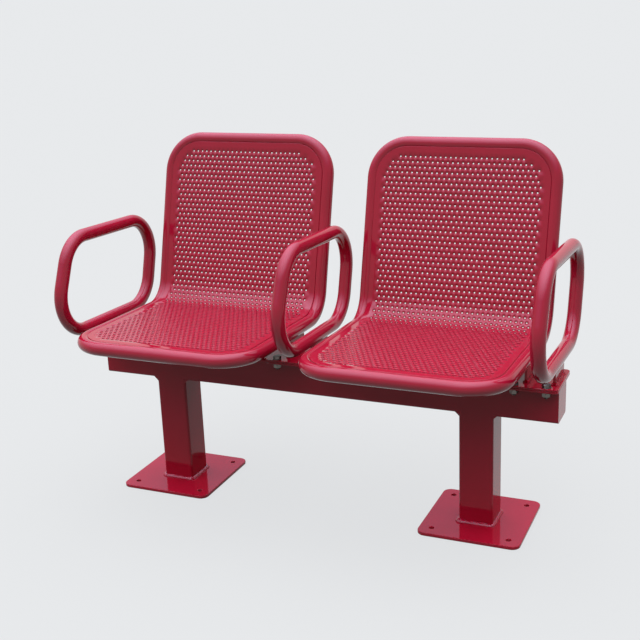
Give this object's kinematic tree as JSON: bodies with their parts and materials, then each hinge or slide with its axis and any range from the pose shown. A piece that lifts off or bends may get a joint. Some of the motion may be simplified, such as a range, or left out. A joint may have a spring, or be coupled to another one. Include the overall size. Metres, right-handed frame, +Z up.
{
  "type": "public bench",
  "caption": "Public bench with bent-tube seats, perforated steel panels and closed arm loops on a square beam, posts and floor plates.",
  "frame": {"origin": "on the floor, midway along the bench's length and midway between its front and back", "axes": "+X along the beam to a sitter's left, the right side of the picture; +Y to the back; +Z up"},
  "size_m": [1.172, 0.5735, 0.8581],
  "materials": {
    "base_paint": "gloss red powder coat on welded steel",
    "tube_paint": "gloss red powder coat on bent round tube",
    "panel_paint": "gloss red powder coat on perforated sheet",
    "zinc_plate": "dull zinc plating"
  },
  "bodies": {
    "root": {"base_plate_left": "base_paint", "post_left": "base_paint", "base_weld_left": "base_paint", "post_top_weld_left": "base_paint", "base_plate_right": "base_paint", "post_right": "base_paint", "base_weld_right": "base_paint", "post_top_weld_right": "base_paint", "beam": "base_paint", "beam_cap_left": "base_paint", "beam_cap_right": "base_paint", "saddle_plate_left": "base_paint", "saddle_weld_left": "base_paint", "foot_plate_left": "base_paint", "web_welds_left": "base_paint", "arm_web_left": "base_paint", "saddle_plate_middle": "base_paint", "saddle_weld_middle": "base_paint", "foot_plate_middle": "base_paint", "web_welds_middle": "base_paint", "arm_web_middle": "base_paint", "saddle_plate_right": "base_paint", "saddle_weld_right": "base_paint", "foot_plate_right": "base_paint", "web_welds_right": "base_paint", "arm_web_right": "base_paint", "seat_web_left_outer": "base_paint", "seat_web_left_inner": "base_paint", "seat_web_right_inner": "base_paint", "seat_web_right_outer": "base_paint", "arm_loop_left": "tube_paint", "arm_loop_middle": "tube_paint", "arm_loop_right": "tube_paint", "seat_rim_left": "tube_paint", "seat_panel_left": "panel_paint", "seat_rim_right": "tube_paint", "seat_panel_right": "panel_paint", "carrier_bolts": "zinc_plate", "carrier_washers": "zinc_plate", "carrier_nuts": "zinc_plate"}
  },
  "joints": []
}
